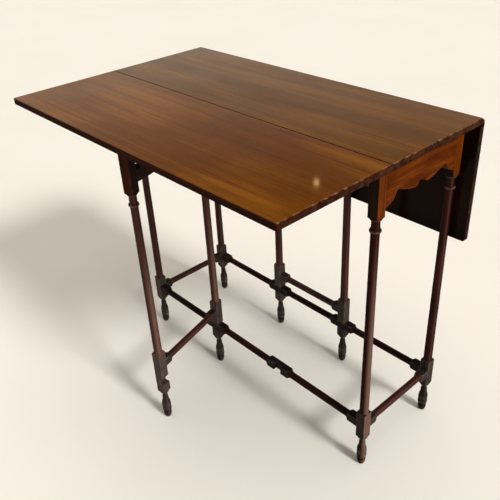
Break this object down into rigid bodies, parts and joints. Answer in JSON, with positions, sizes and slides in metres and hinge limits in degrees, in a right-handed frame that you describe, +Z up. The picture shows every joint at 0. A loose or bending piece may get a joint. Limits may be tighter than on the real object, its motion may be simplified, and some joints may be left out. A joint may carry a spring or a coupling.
{
  "type": "drop leaf table",
  "caption": "Small gateleg table with two rule-jointed drop leaves, slender turned legs and stretchers, shaped end aprons and swinging gates that hold a raised leaf.",
  "frame": {"origin": "on the floor, under the centre of the table's bounding box as it stands in the rest state (front leaf up on its open gate, back leaf hanging)", "axes": "+Z up; +X to the right along the table's length, parallel to the seams; the front, with the raised leaf, is on the -Y side"},
  "size_m": [0.78, 0.5096, 0.71],
  "materials": {
    "polished_mahogany_top": "french polished",
    "mahogany_apron": "polished",
    "dark_mahogany_turning": "polished",
    "secondary_wood": "stained and unpolished",
    "hinge_iron": "dark, worn",
    "screw_iron": "dark, worn"
  },
  "bodies": {
    "frame": {"corner_blocks": "secondary_wood", "end_rail_left": "mahogany_apron", "end_rail_right": "mahogany_apron", "end_stretcher_left": "dark_mahogany_turning", "end_stretcher_right": "dark_mahogany_turning", "fixed_top": "polished_mahogany_top", "hinge_flaps_top_back": "hinge_iron", "hinge_flaps_top_front": "hinge_iron", "hinge_pins_back": "hinge_iron", "hinge_pins_front": "hinge_iron", "hinge_screws_top_back": "screw_iron", "hinge_screws_top_front": "screw_iron", "leg_back_left": "dark_mahogany_turning", "leg_back_right": "dark_mahogany_turning", "leg_front_left": "dark_mahogany_turning", "leg_front_right": "dark_mahogany_turning", "long_stretcher_back": "dark_mahogany_turning", "long_stretcher_front": "dark_mahogany_turning", "pivot_block_back": "secondary_wood", "pivot_block_front": "secondary_wood", "pivot_foot_back": "dark_mahogany_turning", "pivot_foot_front": "dark_mahogany_turning", "side_rail_back": "secondary_wood", "side_rail_front": "secondary_wood", "top_screws": "screw_iron"},
    "front_leaf": {"front_leaf": "polished_mahogany_top", "hinge_flaps_leaf_front": "hinge_iron", "hinge_screws_leaf_front": "screw_iron"},
    "back_leaf": {"back_leaf": "polished_mahogany_top", "hinge_flaps_leaf_back": "hinge_iron", "hinge_screws_leaf_back": "screw_iron"},
    "front_gate": {"pivot_stile_front": "dark_mahogany_turning", "swing_leg_front": "dark_mahogany_turning", "fly_rail_front": "dark_mahogany_turning", "gate_stretcher_front": "dark_mahogany_turning"},
    "back_gate": {"pivot_stile_back": "dark_mahogany_turning", "swing_leg_back": "dark_mahogany_turning", "fly_rail_back": "dark_mahogany_turning", "gate_stretcher_back": "dark_mahogany_turning"}
  },
  "joints": [
    {"name": "front_gate_pivot", "type": "hinge", "parent": "frame", "child": "front_gate", "pos_m": [-0.1115, 0.00825, 0.375], "axis": [0, 0, -1], "range_deg": [-74.5, 100]},
    {"name": "back_gate_pivot", "type": "hinge", "parent": "frame", "child": "back_gate", "pos_m": [0.1115, 0.22825, 0.375], "axis": [0, 0, -1], "range_deg": [0, 0.7]},
    {"name": "front_leaf_hinge", "type": "hinge", "parent": "frame", "child": "front_leaf", "pos_m": [0, -0.00875, 0.7005], "axis": [-1, 0, 0], "range_deg": [0, 2]},
    {"name": "back_leaf_hinge", "type": "hinge", "parent": "frame", "child": "back_leaf", "pos_m": [0, 0.24525, 0.7005], "axis": [1, 0, 0], "range_deg": [0, 90]}
  ]
}
